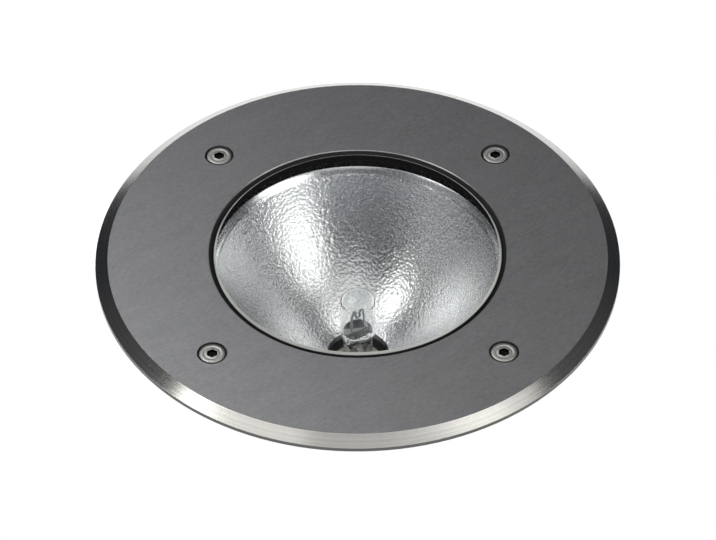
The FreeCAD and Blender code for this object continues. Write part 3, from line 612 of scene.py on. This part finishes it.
def cutWith(piece, cutter):
    bpy.ops.object.select_all(action="DESELECT")
    bpy.context.view_layer.objects.active = piece
    piece.select_set(True)
    cut = piece.modifiers.new("cut", "BOOLEAN")
    cut.operation = "DIFFERENCE"
    cut.object = cutter
    bpy.ops.object.modifier_apply(modifier="cut")
    bpy.data.objects.remove(cutter)


def socketCutter(c):
    corner = c["socketAcross"] / math.sqrt(3) * mm
    bpy.ops.object.select_all(action="DESELECT")
    bpy.ops.mesh.primitive_cylinder_add(vertices=6, radius=corner, depth=2 * c["socketDepth"] * mm)
    cutter = bpy.context.object
    editFrom(cutter, "socketCutter")
    bpy.ops.mesh.select_all(action="DESELECT")
    bpy.ops.mesh.select_mode(type="FACE")
    bpy.ops.object.mode_set(mode="OBJECT")
    for face in cutter.data.polygons:
        face.select = face.normal.z < facingDown
    bpy.ops.object.mode_set(mode="EDIT")
    bpy.ops.mesh.extrude_region_move(
        TRANSFORM_OT_translate={"value": Vector((0, 0, -c["drillDepth"])) * mm})
    bpy.ops.mesh.merge(type="CENTER")
    bpy.ops.object.mode_set(mode="OBJECT")
    return cutter


def threadRidge(c):
    bpy.ops.object.select_all(action="DESELECT")
    bpy.ops.mesh.primitive_plane_add(size=1 * mm, location=(0, 0, 0))
    ridge = bpy.context.object
    editFrom(ridge, "threadRidge")
    bpy.ops.mesh.select_all(action="SELECT")
    bpy.ops.mesh.merge(type="CENTER")
    half = c["pitch"] * c["ridgeShare"]
    flank = half - c["crestFlat"] / 2
    bpy.ops.transform.translate(value=Vector((c["threadRoot"], 0, c["threadStart"] - half)) * mm)
    reach = c["threadCrest"] - c["threadRoot"]
    for step in ((reach, flank), (0, c["crestFlat"]), (-reach, flank), (0, -2 * half)):
        bpy.ops.mesh.extrude_vertices_move(
            TRANSFORM_OT_translate={"value": Vector((step[0], 0, step[1])) * mm})
    bpy.ops.mesh.select_all(action="SELECT")
    bpy.ops.mesh.remove_doubles(threshold=mergeDistance)
    bpy.ops.object.mode_set(mode="OBJECT")
    wind = ridge.modifiers.new("wind", "SCREW")
    wind.angle = 2 * math.pi
    wind.screw_offset = c["pitch"] * mm
    wind.iterations = c["turns"]
    wind.steps = c["windSteps"]
    wind.render_steps = c["windSteps"]
    bpy.ops.object.modifier_apply(modifier="wind")
    editFrom(ridge, "threadRidge")
    bpy.ops.mesh.select_all(action="SELECT")
    bpy.ops.mesh.fill_holes(sides=4)
    closeMesh()
    return ridge


def makeScrew(c):
    cutter = socketCutter(c)
    ridge = threadRidge(c)
    made = spun("turnedScrew", c["profile"], c["steps"])
    cutWith(made, cutter)
    bpy.ops.object.select_all(action="DESELECT")
    ridge.select_set(True)
    made.select_set(True)
    bpy.context.view_layer.objects.active = made
    bpy.ops.object.join()
    return made


screwModel = makeScrew(screw)
for number in range(1, 5):
    nodeName = "bezel_screw_%d" % number
    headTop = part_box(nodeName)[1][2]
    middle = middleOf(nodeName)
    piece = screwModel.copy()
    piece.data = screwModel.data.copy()
    piece.name = piece.data.name = "turnedScrew%d" % number
    bpy.context.collection.objects.link(piece)
    piece.location = (middle.x, middle.y, headTop)
    finish = screwMaterial("screwSteel%d" % number, (middle.x, middle.y, 0), headTop,
                           screwFinish)
    finishPiece(piece, "screw_%d" % number, finish, nodeName)
bpy.data.objects.remove(screwModel)
print("screws made")

# Studio

studio = {
    "horizon": (0.92, 0.93, 0.95),
    "middle": (0.034, 0.036, 0.041),
    "zenith": (0.12, 0.12, 0.125),
    "frontGlow": (0.44, 0.46, 0.49),
    "frontHeights": (0.15, 0.45),
    "frontSpread": (-0.25, 0.05),
    "horizonHeights": (0.015, 0.045),
    "zenithHeights": (0.35, 0.8),
    "floorSize": 40.0,
    "floorShade": 0.80,
    "floorMottle": 1.02,
    "mottleScale": 3.0,
    "floorRough": 0.9,
    "cardInner": 101.5 * mm,
    "cardOuter": 330 * mm,
    "cardRise": 3.0,
    "cardFrom": -178.0,
    "cardTo": 28.0,
    "cardSteps": 52,
    "glowNear": 0.72,
    "glowFrom": 0.3,
    "glowFull": 0.9,
}
lamps = {
    "overhead": {"at": (0.0, -0.20, 1.45), "size": (1.8, 1.25), "power": 4.4,
                 "colour": (1.0, 0.985, 0.95), "aim": (0, 0, 0.12)},
    "overheadLeft": {"at": (-0.58, -0.24, 1.40), "size": (0.38, 0.7), "power": 0.48,
                     "colour": (1.0, 0.985, 0.95), "aim": (-0.60, -0.22, 0)},
    "overheadRight": {"at": (0.64, -0.12, 1.40), "size": (0.54, 0.9), "power": 1.7,
                      "colour": (1.0, 0.985, 0.95), "aim": (0.62, -0.12, 0)},
    "leftSide": {"at": (-0.818, -0.292, 1.01), "size": (0.54, 0.40), "power": 2.15,
                 "colour": (1.0, 0.995, 0.955), "aim": (0.01, 0.02, 0.10)},
    "rightFront": {"at": (0.83, -0.52, 0.61), "size": (0.72, 0.44), "power": 3.0,
                   "colour": (1.0, 0.995, 0.955), "aim": (-0.02, 0.03, 0.10)},
    "front": {"at": (0.10, -0.80, 1.13), "size": (0.70, 0.50), "power": 0.9,
              "colour": (1.0, 1.0, 0.98), "aim": (0, 0, 0.10)},
    "backLeft": {"at": (-0.50, 0.72, 1.55), "size": (0.8, 0.6), "power": 3.3,
                 "colour": (0.97, 0.98, 1.0), "aim": (0, 0, 0.12)},
}


def addLamp(name, c):
    data = bpy.data.lights.new(name, "AREA")
    data.shape = "RECTANGLE"
    data.size, data.size_y = c["size"]
    data.energy = c["power"]
    data.color = c["colour"]
    lamp = bpy.data.objects.new(name, data)
    lamp.location = c["at"]
    lamp.rotation_mode = "QUATERNION"
    lamp.rotation_quaternion = (Vector(c["aim"]) - Vector(c["at"])).to_track_quat("-Z", "Y")
    lamp.visible_camera = False
    bpy.context.collection.objects.link(lamp)


for lampName, values in lamps.items():
    addLamp(lampName, values)


def addWorld(c):
    world = bpy.data.worlds.new("studio")
    bpy.context.scene.world = world
    world.use_nodes = True
    tree = world.node_tree
    heading = add(tree, "ShaderNodeTexCoord").outputs["Generated"]
    axes = add(tree, "ShaderNodeSeparateXYZ", Vector=heading)
    height = axes.outputs[2]
    front = calculate(tree, "MULTIPLY", ramp(tree, height, *c["frontHeights"], 1, 0),
                      ramp(tree, axes.outputs[1], *c["frontSpread"], 1, 0))
    level = mixColour(tree, front, c["middle"], c["frontGlow"])
    low = mixColour(tree, ramp(tree, height, *c["horizonHeights"]), c["horizon"], level)
    full = mixColour(tree, ramp(tree, height, *c["zenithHeights"]), low, c["zenith"])
    seen = add(tree, "ShaderNodeLightPath").outputs["Is Camera Ray"]
    tree.links.new(mixColour(tree, seen, full, (1.0, 1.0, 1.0)),
                   tree.nodes["Background"].inputs["Color"])


def floorMaterial(c):
    made, tree, shader = newFinish("paleFloor")
    where = place(tree)
    mottle = noise(tree, where, c["mottleScale"], 2, 0.5)
    shader.inputs["Roughness"].default_value = c["floorRough"]
    shade = c["floorShade"]
    tree.links.new(mixColour(tree, mottle, (shade,) * 3, (shade * c["floorMottle"],) * 3),
                   shader.inputs["Base Color"])
    path = add(tree, "ShaderNodeLightPath").outputs
    seen = calculate(tree, "MAXIMUM", path["Is Camera Ray"], path["Is Glossy Ray"])
    seen = calculate(tree, "MAXIMUM", seen, path["Is Transmission Ray"])
    away = add(tree, "ShaderNodeVectorMath", {"operation": "LENGTH"}, input0=where)
    level = ramp(tree, away.outputs["Value"], c["glowFrom"], c["glowFull"], c["glowNear"], 1.0)
    glow = add(tree, "ShaderNodeEmission", Color=(1, 1, 1, 1),
               Strength=calculate(tree, "MULTIPLY", seen, level))
    show(tree, add(tree, "ShaderNodeAddShader", input0=shader.outputs[0],
                   input1=glow.outputs[0]))
    return made


def cardMaterial():
    made, tree = newFinish("whiteCard")[:2]
    behind = add(tree, "ShaderNodeNewGeometry").outputs["Backfacing"]
    clear = add(tree, "ShaderNodeBsdfTransparent")
    white = add(tree, "ShaderNodeEmission", Color=(1, 1, 1, 1), Strength=1.0)
    show(tree, mixShaders(tree, behind, white, clear))
    return made


def addFloor(c):
    bpy.ops.object.select_all(action="DESELECT")
    bpy.ops.mesh.primitive_plane_add(size=c["floorSize"], location=(0, 0, 0))
    floor = bpy.context.object
    floor.name = "floor"
    floor.data.materials.append(floorMaterial(c))


# The card stands for the paving round the ring. It is white from above, clear from
# below, and lights nothing. The spin turns clockwise, so it starts at cardTo

def addGroundCard(c):
    rise = math.tan(math.radians(c["cardRise"]))
    outline = [(radius / mm, (ringUnder + (radius - ringRadius) * rise) / mm)
               for radius in (c["cardInner"], c["cardOuter"])]
    card = spun("groundCard", outline, c["cardSteps"],
                math.radians(c["cardTo"] - c["cardFrom"]))
    if card.data.polygons[0].normal.z < 0:
        bpy.ops.object.mode_set(mode="EDIT")
        bpy.ops.mesh.select_all(action="SELECT")
        bpy.ops.mesh.flip_normals()
        bpy.ops.object.mode_set(mode="OBJECT")
    card.rotation_euler.z = math.radians(c["cardTo"])
    bpy.ops.object.transform_apply(location=True, rotation=True, scale=True)
    card.data.materials.append(cardMaterial())
    card.visible_shadow = False
    card.visible_diffuse = False
    card.visible_glossy = False


addWorld(studio)
addFloor(studio)
addGroundCard(studio)
bpy.context.scene.view_settings.view_transform = "Standard"
print("studio set")
